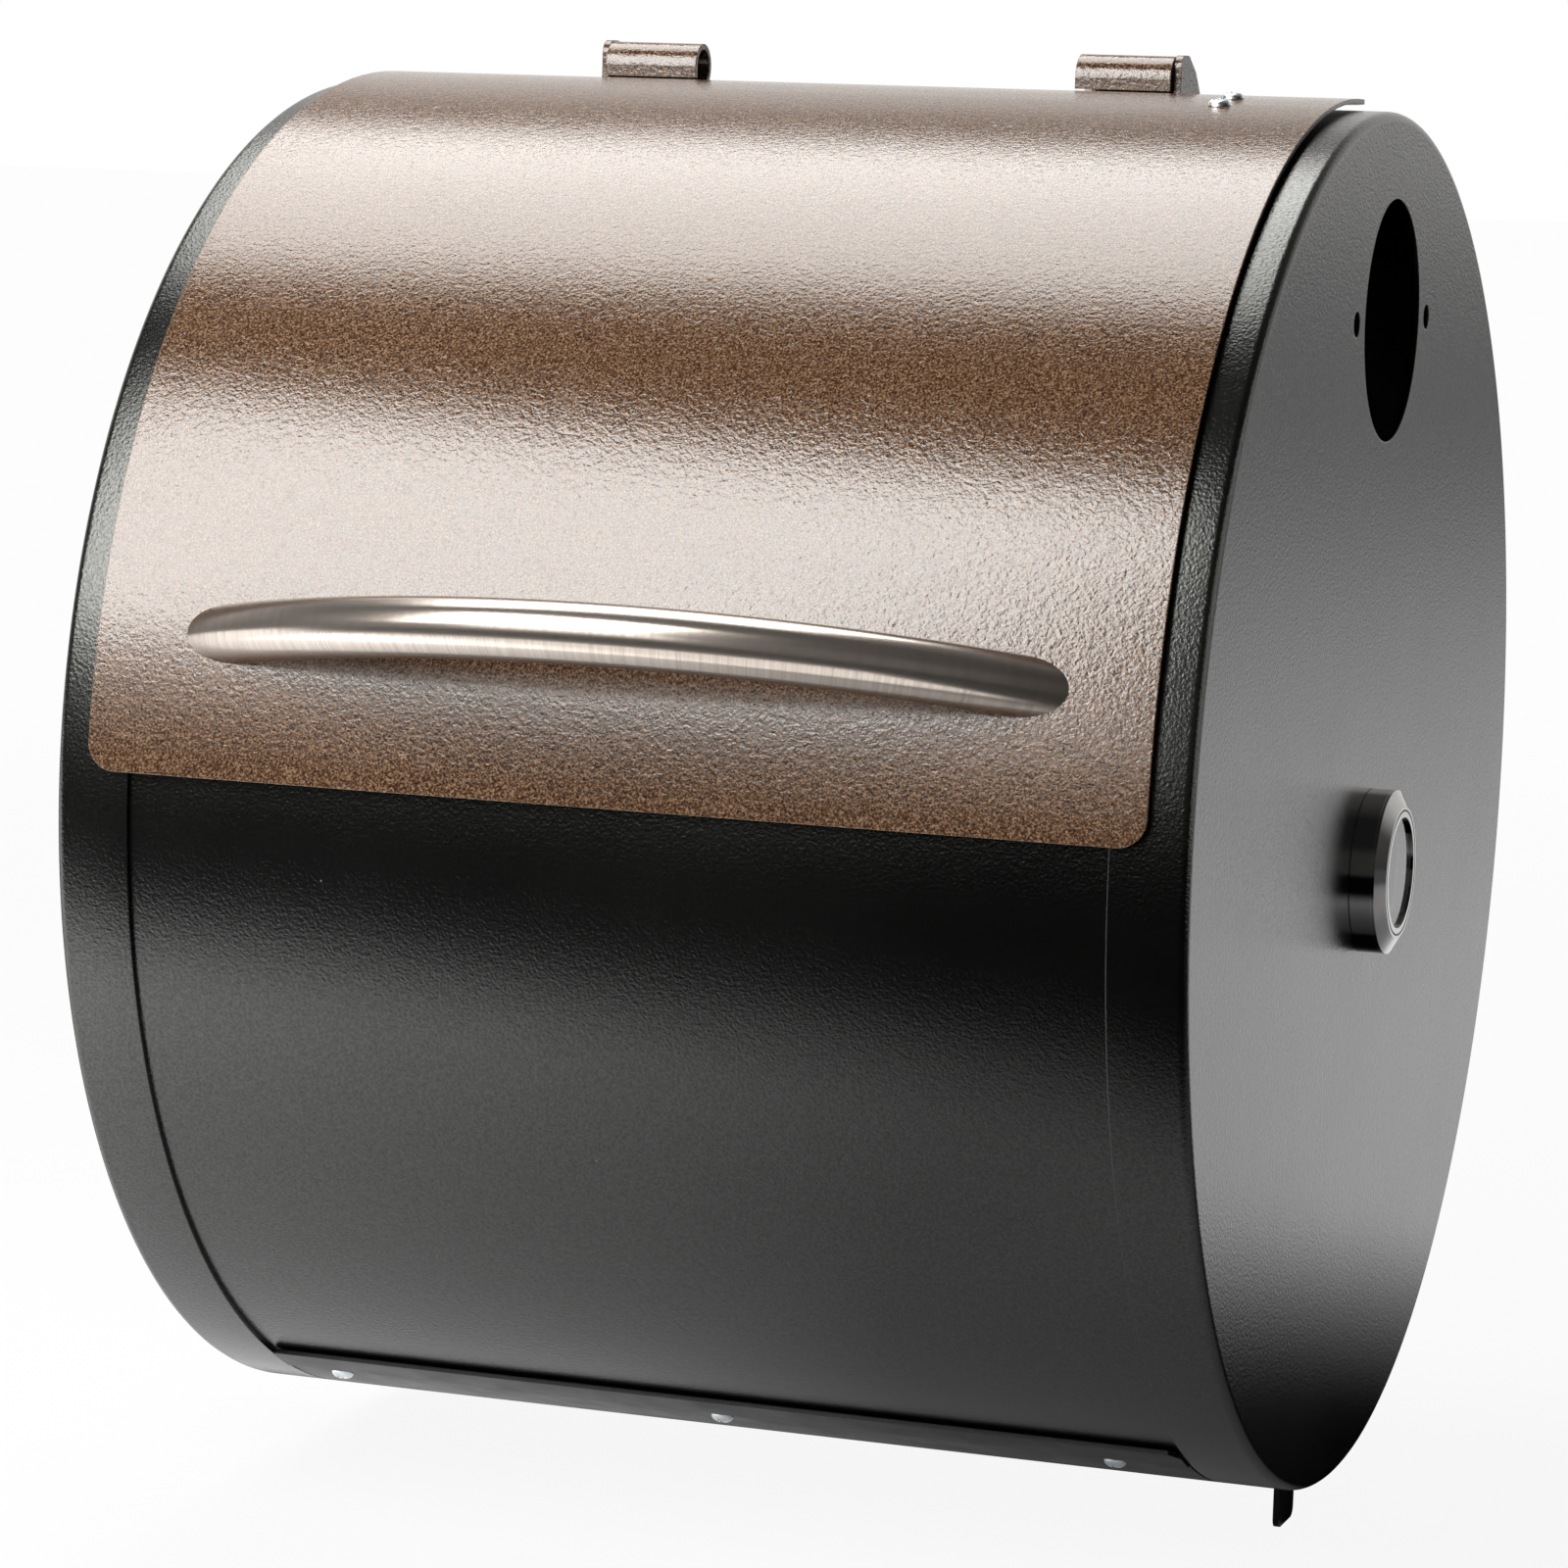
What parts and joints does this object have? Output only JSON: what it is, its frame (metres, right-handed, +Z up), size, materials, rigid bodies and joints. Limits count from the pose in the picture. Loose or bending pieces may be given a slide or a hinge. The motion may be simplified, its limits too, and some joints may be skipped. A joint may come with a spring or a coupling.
{
  "type": "pellet smoker grill barrel",
  "caption": "Round black pellet smoker barrel with a hinged bronze lid, bowed tube handle, dial thermometer, chimney opening, cooking grate, drip tray and auger-fed fire pot.",
  "frame": {"origin": "centre of the four stand bolt holes in the underside, level with the outside surface at the holes", "axes": "+X along the barrel's axis to the chimney end, -Y to the front with the handle, +Z up"},
  "size_m": [0.4309, 0.4971, 0.493],
  "materials": {
    "black_powder_coat": "fine pebbled satin powder coat",
    "bronze_hammertone": "hammertone, semi-gloss",
    "brushed_stainless": "brushed",
    "zinc_plated_steel": "bright zinc plate",
    "chrome_plate": "polished",
    "clear_glass": "clear",
    "dial_white": "matt printed",
    "needle_red": "matt",
    "galvanised_sheet": "galvanised",
    "grate_enamel": "porcelain enamel",
    "plain_steel": "heat-darkened mild steel",
    "bushing_plastic": "moulded",
    "silicone_rubber": "matt"
  },
  "bodies": {
    "barrel": {"front_panel": "black_powder_coat", "rear_shell": "black_powder_coat", "left_end_cap": "black_powder_coat", "right_end_cap": "black_powder_coat", "seam_strip": "black_powder_coat", "seam_screws": "zinc_plated_steel", "grease_spout": "black_powder_coat", "hinge_brackets": "bronze_hammertone", "hinge_bracket_screws": "black_powder_coat", "hinge_pins": "black_powder_coat", "thermometer_case": "chrome_plate", "thermometer_bezel": "chrome_plate", "thermometer_glass": "clear_glass", "thermometer_dial": "dial_white", "thermometer_stem": "brushed_stainless", "thermometer_nut": "zinc_plated_steel", "front_grate_ledge": "galvanised_sheet", "rear_grate_ledge": "galvanised_sheet", "tray_crossbars": "plain_steel", "burner_duct": "galvanised_sheet", "burner_screws": "zinc_plated_steel", "fire_pot": "plain_steel", "auger_tube": "plain_steel", "auger_tube_bracket": "galvanised_sheet", "auger_bushing": "bushing_plastic", "igniter_rod": "brushed_stainless", "temperature_probe": "brushed_stainless", "probe_grommet": "silicone_rubber"},
    "lid": {"lid_skin": "bronze_hammertone", "lid_handle": "brushed_stainless", "handle_inserts": "zinc_plated_steel", "handle_screws": "zinc_plated_steel", "lid_bracket": "galvanised_sheet", "lid_bracket_screws": "zinc_plated_steel", "hinge_knuckles": "bronze_hammertone"},
    "auger": {"auger": "plain_steel"},
    "pointer": {"thermometer_pointer": "needle_red"},
    "grate": {"cooking_grate": "grate_enamel"},
    "tray": {"drip_tray": "galvanised_sheet"},
    "baffle": {"heat_baffle": "plain_steel"}
  },
  "joints": [
    {"name": "lid_hinge", "type": "hinge", "parent": "barrel", "child": "lid", "pos_m": [0, 0.029, 0.46149], "axis": [-1, 0, 0], "range_deg": [0, 95]},
    {"name": "auger_spin", "type": "hinge", "parent": "barrel", "child": "auger", "pos_m": [-0.15, 0, 0.07229], "axis": [1, 0, 0], "continuous": true},
    {"name": "pointer_turn", "type": "hinge", "parent": "barrel", "child": "pointer", "pos_m": [0.19, 0.00735, 0.20089], "axis": [-1, 0, 0], "range_deg": [0, 250]},
    {"name": "grate_lift", "type": "slide", "parent": "barrel", "child": "grate", "axis": [0, 0, 1], "range_m": [0, 0.06]},
    {"name": "tray_lift", "type": "slide", "parent": "barrel", "child": "tray", "axis": [0, 0, 1], "range_m": [0, 0.025]},
    {"name": "baffle_lift", "type": "slide", "parent": "barrel", "child": "baffle", "axis": [0, 0, 1], "range_m": [0, 0.012]}
  ]
}
